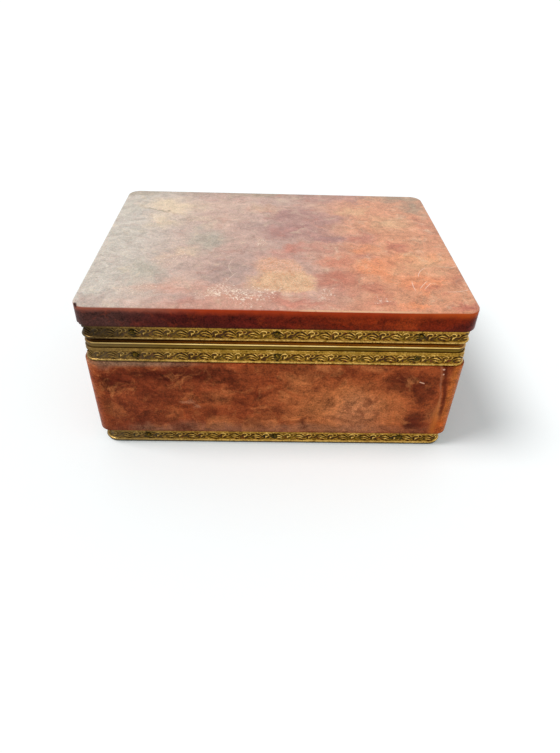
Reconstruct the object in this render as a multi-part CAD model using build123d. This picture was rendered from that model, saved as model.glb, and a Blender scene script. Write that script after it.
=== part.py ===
from build123d import *
import os

os.makedirs("parts", exist_ok=True)

# Small keepsake box of onyx slabs trimmed with brass scroll bands, with a hinged lid slab.
# The origin is the centre of the felt's underside. +X runs along the long side, -Y is the
# front, +Z is up. All sizes are millimetres, at rest with the lid closed.

# Lid slab, the widest piece of the box
slab_width = 160.0
slab_depth = 123.0
slab_thick = 9.3
slab_corner = 6.0  # radius of the four upright corners
slab_top_edge = 1.0  # polished round-over of the top edge
slab_bottom_edge = 0.4

# How far the pieces below stand in from the edge of the slab
frame_inset = 2.0  # brass frames of the lid and of the rim
wall_top_inset = 0.3  # onyx walls where they meet the body band
wall_bottom_inset = 0.8  # onyx walls where they meet the foot band
foot_inset = 2.9  # brass foot frame
groove_inset = 3.6  # neck of the lid frame, which leaves the dark groove
felt_inset = 2.2  # its edge shows under the foot band
foot_corner = 8.0  # corner radius of the foot's pieces, drawn out to the slab's edge
sharpest_corner = 0.5  # smallest corner radius of an inner outline

# Onyx body
wall_height = 38.9  # onyx that shows between the foot band and the body band
wall_thick = 8.4
wall_edge = 0.6  # eased lower edge of the walls
floor_thick = 8.5

# Brass frames
frame_thick = 1.1  # upright leg behind each scroll band
foot_flange = 1.2  # thickness of the foot frame's flange under the walls
plain_height = 1.3  # smooth band under the rim
rim_thick = 1.3  # plate that lies on top of the walls
rim_bead = 0.5  # how far the rounded rim stands out of its frame
neck_height = 1.9
neck_thick = 1.5
web_thick = 1.2  # step that joins the neck to the lid frame's leg
lid_flange_width = 5.0  # flange that the slab is cemented to
lid_flange = 1.1
lip_thick = 1.0  # upstand that keeps the closed lid in place
lip_height = 1.9
lip_gap = 0.4  # between the lip and the neck of the lid
lid_gap = 0.2  # between the rim and the closed lid

# Scroll bands, one stock for lid, body and foot
band_height = 6.4
band_thick = 0.9
bead_height = 1.0
bead_proud = 0.2
seam = 0.1  # between a band and the stone next to it
foot_seam = 0.4  # brass that shows between the foot band and the walls

# Band pins
pin_spacing = 58.0  # along the front and the back
side_pin_spacing = 76.0  # between the two pins of a side
pin_head_radius = 1.1
pin_head_height = 0.5
pin_shank_radius = 0.6
fastener_fit = 0.02  # radial clearance of pins and screws in their holes

# Hinge across the back
hinge_length = 96.0
knuckle_count = 5
knuckle_gap = 0.1
barrel_radius = 1.8
hinge_pin_radius = 0.9
hinge_pin_fit = 0.05
hinge_pin_chamfer = 0.2
leaf_thick = 0.9
leaf_gap = 0.15  # between a leaf's edge and the other leaf's knuckles
leaf_end_gap = 0.2  # between a leaf and the ends of the scroll bands
open_angle = 100.0
heel_reach = 3.6  # stop heel, from the hinge axis to its tip
heel_thick = 1.2
heel_gap = 0.03  # left between heel and leaf with the lid fully open
screw_count = 4  # in each leaf
screw_head_radius = 1.4
screw_head_height = 0.6
screw_shank_radius = 0.8
screw_slot_width = 0.4
screw_slot_depth = 0.3

# Soft sheets
felt_thick = 0.7
lining_thick = 1.2
lining_gap = 0.3  # between the lining and the walls
lining_edge = 0.4

# Levels, from the table up
foot_z = felt_thick
wall_z = foot_z + band_height + foot_seam
shoulder_z = wall_z + wall_height
body_band_z = shoulder_z + seam
plain_z = body_band_z + band_height
rim_z = plain_z + plain_height
rim_top = rim_z + rim_thick
neck_z = rim_top + lid_gap
lid_frame_z = neck_z + neck_height
slab_z = lid_frame_z + band_height
box_top = slab_z + slab_thick

# Cavity between the walls
cavity_inset = wall_top_inset + wall_thick
cavity_width = slab_width - 2 * cavity_inset
cavity_depth = slab_depth - 2 * cavity_inset

# Hinge axis, behind the frames and at the height of the groove
seat_y = slab_depth / 2 - frame_inset
axis_y = seat_y + barrel_radius
axis_z = (rim_top + lid_frame_z) / 2
leaf_face_y = seat_y + leaf_thick
knuckle_pitch = hinge_length / knuckle_count
hinge_room = hinge_length + 2 * leaf_end_gap  # length of the gap in the bands


def outline(inset, edge_corner=slab_corner):
    """The box's plan with rounded corners, drawn in from the slab's edge."""
    corner = max(edge_corner - inset, sharpest_corner)
    return RectangleRounded(slab_width - 2 * inset, slab_depth - 2 * inset, corner)


def block(inset, low, high, edge_corner=slab_corner):
    """A solid block of the box's plan between two levels."""
    return extrude(Pos(0, 0, low) * outline(inset, edge_corner), amount=high - low)


def ring(outer_inset, inner_inset, low, high, edge_corner=slab_corner):
    """A rounded frame between two insets and two levels."""
    plan = outline(outer_inset, edge_corner) - outline(inner_inset, edge_corner)
    return extrude(Pos(0, 0, low) * plan, amount=high - low)


def cavity(low, high):
    """The square-cornered space between the walls, between two levels."""
    space = Box(cavity_width, cavity_depth, high - low, align=(Align.CENTER, Align.CENTER, Align.MIN))
    return Pos(0, 0, low) * space


def end_edges(solid):
    """All edges of a solid's top face and bottom face."""
    faces = solid.faces().sort_by(Axis.Z)
    return faces[0].edges() + faces[-1].edges()


def behind_seat(length, low, high):
    """Everything behind the hinge's seat plane, over a length along the back."""
    space = Box(length, slab_depth, high - low, align=(Align.CENTER, Align.MIN, Align.MIN))
    return Pos(0, seat_y, low) * space


# Fasteners lie along +Y with the underside of the head at the origin, and are turned to their wall.


def band_pin(extra=0.0):
    """A round-headed pin; extra widens it to make its hole."""
    shank_length = band_thick + frame_thick
    shank = Cylinder(pin_shank_radius + extra, shank_length, align=(Align.CENTER, Align.CENTER, Align.MAX))
    if extra:
        return Rot(X=-90) * shank
    head = Cylinder(pin_head_radius, pin_head_height, align=(Align.CENTER, Align.CENTER, Align.MIN))
    head = fillet(head.edges().sort_by(Axis.Z)[-1], 0.8 * pin_head_height)
    return Rot(X=-90) * (shank + head)


def leaf_screw(extra=0.0):
    """A countersunk slotted screw whose head ends flush; extra widens it to make its hole."""
    length = leaf_thick + frame_thick - seam
    head = Cone(
        screw_shank_radius + extra,
        screw_head_radius + extra,
        screw_head_height,
        align=(Align.CENTER, Align.CENTER, Align.MAX),
    )
    shank = Cylinder(
        screw_shank_radius + extra,
        length + extra,
        align=(Align.CENTER, Align.CENTER, Align.MAX),
    )
    screw = head + shank
    if not extra:
        screw -= Box(4 * screw_head_radius, screw_slot_width, 2 * screw_slot_depth)
    return Rot(X=-90) * screw


def pin_places(face_inset, height, middle_at_back):
    """Where one band's pins go: the face they enter, turned to face outwards."""
    half_x = slab_width / 2 - face_inset
    half_y = slab_depth / 2 - face_inset
    places = [Pos(x, -half_y, height) * Rot(Z=180) for x in (-pin_spacing, 0, pin_spacing)]
    back_x = (-pin_spacing, 0, pin_spacing) if middle_at_back else (-pin_spacing, pin_spacing)
    places += [Pos(x, half_y, height) for x in back_x]
    for y in (-side_pin_spacing / 2, side_pin_spacing / 2):
        places.append(Pos(half_x, y, height) * Rot(Z=-90))
        places.append(Pos(-half_x, y, height) * Rot(Z=90))
    return places


def scroll_band(carrier_inset, low, edge_corner=slab_corner):
    """A band with a round bead along its lower edge, on a frame at carrier_inset."""
    face_inset = carrier_inset - band_thick
    bead = block(face_inset - bead_proud, low, low + bead_height, edge_corner)
    bead = fillet(end_edges(bead), 0.4 * bead_height)
    strip = block(face_inset, low, low + band_height, edge_corner)
    return strip + bead - block(carrier_inset, low, low + band_height, edge_corner)


def punched(solid, places, tool):
    """A solid with one hole for each fastener."""
    for place in places:
        solid -= place * tool
    return solid


def group(places, fastener):
    """Identical fasteners as one group of separate solids."""
    return Compound([solid for place in places for solid in (place * fastener).solids()])


# Onyx lid slab


def lid_slab():
    slab = block(0, slab_z, box_top)
    slab = fillet(slab.faces().sort_by(Axis.Z)[-1].edges(), slab_top_edge)
    return fillet(slab.faces().sort_by(Axis.Z)[0].edges(), slab_bottom_edge)


# Onyx body: two side walls run the full depth, the front and back walls stand between them


def stone_shell():
    low = Pos(0, 0, wall_z) * outline(wall_bottom_inset)
    high = Pos(0, 0, shoulder_z) * outline(wall_top_inset)
    shell = loft([low, high], ruled=True)
    shell = fillet(shell.faces().sort_by(Axis.Z)[0].edges(), wall_edge)
    shell += block(foot_inset + frame_thick, foot_z + foot_flange, wall_z, foot_corner)
    shell += block(frame_inset + frame_thick, shoulder_z, rim_z)
    return shell - cavity(0, box_top)


def back_wall():
    """The back wall's upright section, drawn out between the side walls."""
    half = slab_depth / 2
    lower_corner = (half - wall_bottom_inset, wall_z)
    section = make_face(
        Polyline(
            (cavity_depth / 2, foot_z + foot_flange),
            (half - foot_inset - frame_thick, foot_z + foot_flange),
            (half - foot_inset - frame_thick, wall_z),
            lower_corner,
            (half - wall_top_inset, shoulder_z),
            (half - frame_inset - frame_thick, shoulder_z),
            (half - frame_inset - frame_thick, rim_z),
            (cavity_depth / 2, rim_z),
            close=True,
        )
    )
    section = fillet(section.vertices().sort_by_distance(lower_corner)[0], wall_edge)
    return extrude(Plane.YZ * section, amount=cavity_width / 2, both=True)


def right_wall():
    side = Box(slab_width, 2 * slab_depth, box_top, align=(Align.MIN, Align.CENTER, Align.MIN))
    return stone_shell() & (Pos(cavity_width / 2, 0, 0) * side)


def stone_walls():
    half_turn = Rot(Z=180)
    return {
        "back_wall": back_wall(),
        "front_wall": half_turn * back_wall(),
        "right_wall": right_wall(),
        "left_wall": half_turn * right_wall(),
    }


def floor_slab():
    return cavity(foot_z, foot_z + floor_thick)


def floor_lining():
    low = foot_z + floor_thick
    pad = Box(
        cavity_width - 2 * lining_gap,
        cavity_depth - 2 * lining_gap,
        lining_thick,
        align=(Align.CENTER, Align.CENTER, Align.MIN),
    )
    return Pos(0, 0, low) * fillet(pad.faces().sort_by(Axis.Z)[-1].edges(), lining_edge)


def base_felt():
    return block(felt_inset, 0, felt_thick, foot_corner)


# Brass frames


def foot_frame():
    leg = ring(foot_inset, foot_inset + frame_thick, foot_z, wall_z, foot_corner)
    flange = block(foot_inset, foot_z, foot_z + foot_flange, foot_corner)
    flange -= cavity(foot_z, foot_z + foot_flange)
    return leg + flange


def rim_frame():
    leg = ring(frame_inset, frame_inset + frame_thick, shoulder_z, rim_z)
    plate = block(frame_inset - rim_bead, rim_z, rim_top)
    plate = fillet(end_edges(plate), 0.46 * rim_thick)
    return leg + plate - cavity(rim_z, rim_top) - behind_seat(hinge_room, shoulder_z, box_top)


def rim_inner_lip():
    lip_inset = groove_inset + neck_thick + lip_gap
    return ring(lip_inset, lip_inset + lip_thick, rim_top, rim_top + lip_height)


def lid_frame():
    leg = ring(frame_inset, frame_inset + frame_thick, lid_frame_z, slab_z)
    web = ring(frame_inset, groove_inset + neck_thick, lid_frame_z, lid_frame_z + web_thick)
    neck = ring(groove_inset, groove_inset + neck_thick, neck_z, lid_frame_z + web_thick)
    flange = ring(frame_inset, frame_inset + frame_thick + lid_flange_width, slab_z - lid_flange, slab_z)
    return leg + web + neck + flange


# Hinge: a lid leaf with stop heels, a base leaf, and the pin through their knuckles


def knuckle_middles(first):
    """X of the middle of every second knuckle, from knuckle number first."""
    return [(i - (knuckle_count - 1) / 2) * knuckle_pitch for i in range(first, knuckle_count, 2)]


def along_axis(x, solid):
    """A solid drawn about the hinge axis, moved to x along it."""
    return Pos(x, axis_y, axis_z) * solid


def knuckle(x, leaf_side):
    """One barrel knuckle with the tab that joins it to its leaf, above (+1) or below (-1)."""
    length = knuckle_pitch - knuckle_gap
    barrel = Rot(Y=90) * Cylinder(barrel_radius, length)
    tab_height = barrel_radius + 2 * leaf_gap
    tab = Box(length, leaf_thick, tab_height, align=(Align.CENTER, Align.MIN, Align.MIN))
    tab = Pos(0, -barrel_radius, 0) * tab
    if leaf_side < 0:
        tab = Pos(0, 0, -tab_height) * tab
    return along_axis(x, barrel + tab)


def leaf_plate(low, high):
    plate = Box(hinge_length, leaf_thick, high - low, align=(Align.CENTER, Align.MIN, Align.MIN))
    return Pos(0, seat_y, low) * plate


def screw_places(height):
    pitch = hinge_length / screw_count
    middle = (screw_count - 1) / 2
    return [Pos((i - middle) * pitch, leaf_face_y, height) for i in range(screw_count)]


def pin_bore():
    return along_axis(0, Rot(Y=90) * Cylinder(hinge_pin_radius + hinge_pin_fit, 2 * hinge_length))


def stop_heel(x):
    """A heel that turns down against the base leaf when the lid is fully open."""
    length = knuckle_pitch - knuckle_gap
    heel = Box(length, heel_thick, heel_reach, align=(Align.CENTER, Align.MIN, Align.MAX))
    at_stop = Pos(0, leaf_thick - barrel_radius + heel_gap, 0) * heel
    return along_axis(x, Rot(X=open_angle) * at_stop)


lid_leaf_z = axis_z + barrel_radius + leaf_gap
base_leaf_top = axis_z - barrel_radius - leaf_gap
lid_screws = screw_places((lid_leaf_z + slab_z - seam) / 2)
base_screws = screw_places((body_band_z + base_leaf_top) / 2)
screw_hole = leaf_screw(fastener_fit)


def lid_hinge_leaf():
    leaf = leaf_plate(lid_leaf_z, slab_z - seam)
    for x in knuckle_middles(1):
        leaf += knuckle(x, 1)
        leaf += stop_heel(x)
    return punched(leaf - pin_bore(), lid_screws, screw_hole)


def base_hinge_leaf():
    leaf = leaf_plate(body_band_z, base_leaf_top)
    for x in knuckle_middles(0):
        leaf += knuckle(x, -1)
    return punched(leaf - pin_bore(), base_screws, screw_hole)


def hinge_pin():
    pin = Cylinder(hinge_pin_radius, hinge_length)
    pin = chamfer(end_edges(pin), hinge_pin_chamfer)
    return along_axis(0, Rot(Y=90) * pin)


# Bands, their pins and the holes they share with the frames

pin_height = band_height / 2
lid_pins = pin_places(frame_inset - band_thick, lid_frame_z + pin_height, False)
body_pins = pin_places(frame_inset - band_thick, body_band_z + pin_height, False)
foot_pins = pin_places(foot_inset - band_thick, foot_z + pin_height, True)
pin_hole = band_pin(fastener_fit)

hinge_gap = behind_seat(hinge_room, body_band_z, slab_z)
lid_band = scroll_band(frame_inset, lid_frame_z) - hinge_gap
body_band = scroll_band(frame_inset, body_band_z) - hinge_gap
foot_band = scroll_band(foot_inset, foot_z, foot_corner)

nodes = {
    "lid_slab": lid_slab(),
    "lid_frame": punched(punched(lid_frame(), lid_pins, pin_hole), lid_screws, screw_hole),
    "lid_scroll_band": punched(lid_band, lid_pins, pin_hole),
    "lid_band_pins": group(lid_pins, band_pin()),
    "lid_hinge_leaf": lid_hinge_leaf(),
    "lid_hinge_screws": group(lid_screws, leaf_screw()),
    "rim_frame": punched(punched(rim_frame(), body_pins, pin_hole), base_screws, screw_hole),
    "rim_inner_lip": rim_inner_lip(),
    "body_scroll_band": punched(body_band, body_pins, pin_hole),
    "body_band_pins": group(body_pins, band_pin()),
    "foot_frame": punched(foot_frame(), foot_pins, pin_hole),
    "foot_scroll_band": punched(foot_band, foot_pins, pin_hole),
    "foot_band_pins": group(foot_pins, band_pin()),
    "base_hinge_leaf": base_hinge_leaf(),
    "base_hinge_screws": group(base_screws, leaf_screw()),
    "hinge_pin": hinge_pin(),
    "floor_slab": floor_slab(),
    "floor_lining": floor_lining(),
    "base_felt": base_felt(),
}
nodes.update(stone_walls())

for name, shape in nodes.items():
    export_step(shape, f"parts/{name}.step")
    print(name, "written")
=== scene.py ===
import bpy
import functools
import math
from mathutils import Matrix, Vector


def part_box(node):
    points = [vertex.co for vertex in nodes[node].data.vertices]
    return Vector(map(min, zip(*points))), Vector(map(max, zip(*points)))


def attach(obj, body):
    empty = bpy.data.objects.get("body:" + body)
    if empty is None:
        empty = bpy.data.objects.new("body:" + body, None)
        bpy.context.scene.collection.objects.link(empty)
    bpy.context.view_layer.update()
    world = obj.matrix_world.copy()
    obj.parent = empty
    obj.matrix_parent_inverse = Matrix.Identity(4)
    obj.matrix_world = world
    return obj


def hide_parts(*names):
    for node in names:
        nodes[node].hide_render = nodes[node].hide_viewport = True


# Onyx keepsake box with brass scroll bands. Sizes in the dictionaries are millimetres unless said.

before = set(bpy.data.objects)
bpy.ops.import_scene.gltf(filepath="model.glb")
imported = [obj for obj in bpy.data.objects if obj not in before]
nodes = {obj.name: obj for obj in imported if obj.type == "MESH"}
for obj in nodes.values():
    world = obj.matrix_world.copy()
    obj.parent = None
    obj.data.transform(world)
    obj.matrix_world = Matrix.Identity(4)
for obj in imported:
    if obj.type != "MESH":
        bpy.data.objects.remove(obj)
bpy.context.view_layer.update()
mm = 0.001
samePlace = 1e-6  # metres, nearer than this counts as touching
longEdge = 0.02  # metres, only the straight runs round the box have edges this long


# modelling helpers


def workOn(piece):
    if bpy.context.object and bpy.context.object.mode != "OBJECT":
        bpy.ops.object.mode_set(mode="OBJECT")
    bpy.ops.object.select_all(action="DESELECT")
    piece.hide_set(False)
    piece.select_set(True)
    bpy.context.view_layer.objects.active = piece


def clearSelection():
    bpy.ops.object.select_all(action="DESELECT")
    bpy.context.view_layer.objects.active = None


def settle(piece):  # place, turn and size go into the mesh
    workOn(piece)
    bpy.ops.object.transform_apply(location=True, rotation=True, scale=True)


def editAll(piece):  # edit mode with the whole mesh selected
    workOn(piece)
    bpy.ops.object.mode_set(mode="EDIT")
    bpy.ops.mesh.select_all(action="SELECT")


def pick(piece, kind, test):  # edit mode with only the vertices, edges or faces that pass the test
    bpy.ops.object.mode_set(mode="EDIT")
    bpy.ops.mesh.select_mode(type=kind)
    bpy.ops.mesh.select_all(action="DESELECT")
    bpy.ops.object.mode_set(mode="OBJECT")
    mesh = piece.data
    if kind == "VERT":
        for v in mesh.vertices:
            v.select = test(v.co)
    elif kind == "EDGE":
        for e in mesh.edges:
            a, b = (mesh.vertices[i].co for i in e.vertices)
            e.select = test(a, b)
    else:
        for f in mesh.polygons:
            f.select = test(f)
    bpy.ops.object.mode_set(mode="EDIT")


def modify(piece, kind, **settings):  # adds a modifier and applies it
    workOn(piece)
    made = piece.modifiers.new(kind.lower(), kind)
    for key, value in settings.items():
        setattr(made, key, value)
    bpy.ops.object.modifier_apply(modifier=made.name)


def tidyMesh(piece, smoothAngle):  # one closed mesh, facing outwards, sharp above the angle in degrees
    editAll(piece)
    bpy.ops.mesh.remove_doubles(threshold=samePlace)
    bpy.ops.mesh.normals_make_consistent(inside=False)
    bpy.ops.object.mode_set(mode="OBJECT")
    bpy.ops.object.shade_smooth_by_angle(angle=math.radians(smoothAngle))


def blockIn(low, high, name):  # a block that fills a node's box
    clearSelection()
    bpy.ops.mesh.primitive_cube_add(size=1, location=(low + high) / 2, scale=high - low)
    block = bpy.context.object
    block.name = name
    settle(block)
    return block


def fitOut(piece, body, slot, material, *replaced):  # replaced: the CAD nodes that it stands for
    piece.data.materials.clear()
    piece.data.materials.append(material)
    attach(piece, body)
    if replaced:
        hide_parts(*replaced)


# for copies of CAD nodes
copyRules = {
    "merge": 2e-6,  # metres, corners of loose triangles this near become one
    "flat": 0.3,  # degrees, faces this flat to each other become one
    "sharp": 38,  # degrees, edges sharper than this are eased
    "smooth": 32,  # degrees, edges less sharp than this are shaded smooth
}


def easedCopy(node, name, easing):  # a merged copy of a CAD node with its sharp edges eased
    piece = bpy.data.objects.new(name, nodes[node].data.copy())
    bpy.context.scene.collection.objects.link(piece)
    editAll(piece)
    bpy.ops.mesh.customdata_custom_splitnormals_clear()
    bpy.ops.mesh.remove_doubles(threshold=copyRules["merge"])
    bpy.ops.mesh.dissolve_limited(angle_limit=math.radians(copyRules["flat"]))
    bpy.ops.mesh.select_all(action="DESELECT")
    bpy.ops.mesh.select_mode(type="EDGE")
    bpy.ops.mesh.edges_select_sharp(sharpness=math.radians(copyRules["sharp"]))
    if easing:
        bpy.ops.mesh.bevel(offset=easing * mm, segments=2, profile=0.6, clamp_overlap=True)
    bpy.ops.object.mode_set(mode="OBJECT")
    bpy.ops.object.shade_smooth_by_angle(angle=math.radians(copyRules["smooth"]))
    return piece


# shader helpers


class Wire:  # a socket that can be used in plain sums
    def __init__(self, sheet, socket):
        self.sheet = sheet
        self.socket = socket

    def maths(self, operation, *values, clamp=False):
        return self.sheet.node("ShaderNodeMath", {"operation": operation, "use_clamp": clamp}, *values)

    def __add__(self, other):
        return self.maths("ADD", self, other)

    def __radd__(self, other):
        return self.maths("ADD", other, self)

    def __sub__(self, other):
        return self.maths("SUBTRACT", self, other)

    def __rsub__(self, other):
        return self.maths("SUBTRACT", other, self)

    def __mul__(self, other):
        return self.maths("MULTIPLY", self, other)

    def __rmul__(self, other):
        return self.maths("MULTIPLY", other, self)

    def __truediv__(self, other):
        return self.maths("DIVIDE", self, other)

    def __rtruediv__(self, other):
        return self.maths("DIVIDE", other, self)

    def __abs__(self):
        return self.maths("ABSOLUTE", self)

    def clip(self):
        return self.maths("ADD", self, 0.0, clamp=True)

    def atMost(self, other):
        return self.maths("MINIMUM", self, other)

    def atLeast(self, other):
        return self.maths("MAXIMUM", self, other)

    def wrap(self, low, high):
        return self.maths("WRAP", self, high, low)

    def power(self, exponent):
        return self.maths("POWER", self, exponent)


def lowest(wires):
    return functools.reduce(Wire.atMost, wires)


def highest(wires):
    return functools.reduce(Wire.atLeast, wires)


class Sheet:  # a cleared node tree and what is laid out on it
    def __init__(self, tree, outputKind):
        self.tree = tree
        self.tree.nodes.clear()
        self.output = self.tree.nodes.new(outputKind)

    def node(self, kind, settings, *values, out=0, **named):  # values and wires by place or by name
        made = self.tree.nodes.new(kind)
        for key, value in settings.items():
            setattr(made, key, value)
        for where, value in list(enumerate(values)) + list(named.items()):
            socket = made.inputs[where]
            if isinstance(value, Wire):
                self.tree.links.new(value.socket, socket)
            else:
                socket.default_value = value
        return Wire(self, made.outputs[out])

    def place(self):  # position on the object, in millimetres
        spot = self.node("ShaderNodeTexCoord", {}, out="Object")
        return self.vector("SCALE", spot, Scale=1000.0)

    def vector(self, operation, *values, out=0, **named):
        return self.node("ShaderNodeVectorMath", {"operation": operation}, *values, out=out, **named)

    def split(self, spot):
        first = self.node("ShaderNodeSeparateXYZ", {}, spot)
        outs = first.socket.node.outputs
        return [Wire(self, outs[i]) for i in range(3)]

    def noise(self, spot, size, detail=3.0, rough=0.5, twist=0.0, colour=False):  # size in mm
        return self.node(
            "ShaderNodeTexNoise", {}, Vector=spot, Scale=1.0 / size, Detail=detail, Roughness=rough,
            Distortion=twist, out="Color" if colour else 0,
        )

    def drift(self, spot, size, rough):  # a vector that wanders up to half a unit either way
        wander = self.noise(spot, size, 5, rough, colour=True)
        return self.vector("SUBTRACT", wander, (0.5, 0.5, 0.5))

    def bend(self, spot, drift, reach):  # the spot, moved along the drift
        return self.vector("MULTIPLY_ADD", drift, reach, spot)

    def step(self, value, low, high, first=0.0, last=1.0):  # soft step from first to last
        return self.node(
            "ShaderNodeMapRange", {"interpolation_type": "SMOOTHSTEP"}, value, low, high, first, last
        )

    def mix(self, amount, under, over):  # 6, 7 and out 2 are the node's colour sockets
        made = self.tree.nodes.new("ShaderNodeMix")
        made.data_type = "RGBA"
        made.clamp_factor = True
        for socket, value in ((0, amount), (6, under), (7, over)):
            if isinstance(value, Wire):
                self.tree.links.new(value.socket, made.inputs[socket])
            else:
                made.inputs[socket].default_value = value
        return Wire(self, made.outputs[2])

    def blot(self, spot, centre, reach, edge=0.6):  # 1 inside an ellipsoid that fades over its edge
        away = self.vector("SUBTRACT", spot, centre)
        away = self.vector("DIVIDE", away, reach)
        return self.step(self.vector("LENGTH", away, out="Value"), 1.0 - edge, 1.0, 1.0, 0.0)

    def bump(self, height, depth):  # depth in mm
        return self.node("ShaderNodeBump", {}, Strength=1.0, Distance=depth * mm, Height=height)

    def brushed(self, spot, stretch):  # fine lines, long where the stretch is small
        return self.noise(self.vector("MULTIPLY", spot, stretch), 1.0, 3, 0.6)

    def seenRays(self):  # 1 for all that the eye sees, also in metal and through glass
        kinds = ("Is Camera Ray", "Is Glossy Ray", "Is Transmission Ray")
        return highest(self.node("ShaderNodeLightPath", {}, out=kind) for kind in kinds)

    def show(self, wire):
        self.tree.links.new(wire.socket, self.output.inputs[0])


class Finish(Sheet):  # one material
    def __init__(self, name, **fixed):
        self.material = bpy.data.materials.new(name)
        self.material.use_nodes = True
        super().__init__(self.material.node_tree, "ShaderNodeOutputMaterial")
        self.shader = self.tree.nodes.new("ShaderNodeBsdfPrincipled")
        self.show(Wire(self, self.shader.outputs[0]))
        for socket, value in fixed.items():
            self.shader.inputs[socket.replace("_", " ")].default_value = value

    def feed(self, **wires):
        for socket, wire in wires.items():
            self.tree.links.new(wire.socket, self.shader.inputs[socket.replace("_", " ")])
        return self.material


def paint(red, green, blue):  # a colour as it looks on a screen, 0 to 255
    def straight(v):
        v /= 255.0
        return v / 12.92 if v <= 0.04045 else ((v + 0.055) / 1.055) ** 2.4

    return (straight(red), straight(green), straight(blue), 1.0)


# onyx

onyx = {
    "greyWithSheen": paint(207, 197, 185),
    "sage": paint(186, 178, 163),
    "tan": paint(226, 203, 174),
    "honey": paint(224, 180, 140),
    "blush": paint(216, 186, 168),
    "roseTan": paint(200, 168, 155),
    "dusk": paint(176, 150, 141),
    "mauve": paint(180, 138, 130),
    "rosy": paint(198, 134, 118),
    "brick": paint(190, 118, 98),
    "coral": paint(214, 140, 114),
    "peach": paint(217, 155, 122),
    "orange": paint(231, 151, 110),
    "moss": paint(156, 142, 120),
    "chalk": paint(226, 186, 150),
    "softPeach": paint(224, 178, 152),
    "crumbTan": paint(192, 132, 98),
    "fleck": paint(252, 228, 208),
    "maroon": paint(88, 30, 14),
    "brown": paint(134, 62, 33),
    "rust": paint(158, 76, 38),
    "amber": paint(194, 118, 68),
    "gold": paint(196, 108, 44),
    "flameGlow": paint(206, 94, 30),
    "ash": paint(152, 118, 92),
    "tongue": paint(184, 118, 84),
    "chip": paint(236, 186, 156),
    "deepRed": paint(84, 23, 18),
    "crimson": paint(116, 34, 8),
    "copper": paint(152, 58, 20),
    "smoke": paint(76, 47, 42),
    "paintedGlow": paint(180, 62, 24),
    "greyishGlow": paint(166, 92, 72),
    "darkest": paint(54, 22, 14),
    "edgeLight": paint(240, 190, 150),
}


# how the stone is polished, for both finishes
onyxPolish = {
    "Specular_IOR_Level": 0.04,
    "IOR": 1.49,
    "Subsurface_Weight": 0.05,
    "Subsurface_Radius": (0.004, 0.0015, 0.0008),
}
# the four sizes of the mottling, and how its streaks lie, in degrees
mottling = {"swirl": 5.5, "wisp": 2.2, "crumb": 1.9, "grain": 0.62, "rise": 35, "turn": -25}


def mottle(look, stone, spot, drift, strength, stretch):  # cloudy light and dark, in four sizes
    slanted = look.node(
        "ShaderNodeMapping", {}, Vector=look.bend(spot, drift, (9, 9, 9)), Scale=(1.0 / stretch, 1.1, 1.1),
        Rotation=(0, math.radians(mottling["rise"]), math.radians(mottling["turn"])),
    )
    swirl = look.noise(slanted, mottling["swirl"], 5, 0.6, 0.9)
    wisp = look.noise(slanted, mottling["wisp"], 4, 0.62, 1.4)
    crumb = look.noise(look.bend(spot, drift, (3, 3, 3)), mottling["crumb"], 4, 0.65, 0.4)
    grain = look.noise(spot, mottling["grain"], 2, 0.6)
    light = 1.0 + (swirl - 0.5) * strength * 1.2 + (wisp - 0.5) * strength * 0.8
    light = light + (crumb - 0.5) * strength * 0.35 + (grain - 0.5) * strength * 1.1
    return look.vector("SCALE", stone, Scale=light), swirl, crumb, grain


def layBlots(look, stone, spot, blots):  # each blot: centre, reach, colour, strength
    for centre, reach, colour, strength in blots:
        stone = look.mix(look.blot(spot, centre, reach, 0.85) * strength, stone, onyx[colour])
    return stone


topLevel = 73  # height at which the marks on the lid's top lie
frontFace = -61  # how far forward the marks on the front lie


def onTop(x, y, halfX, halfY, *rest, depth=40):  # a mark on the top, as a centre, a reach and the rest
    return ((x, y, topLevel), (halfX, halfY, depth), *rest)


def onFront(x, z, halfX, halfZ, depth, *rest):  # the same for a mark on the front
    return ((x, frontFace, z), (halfX, depth, halfZ), *rest)


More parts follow.
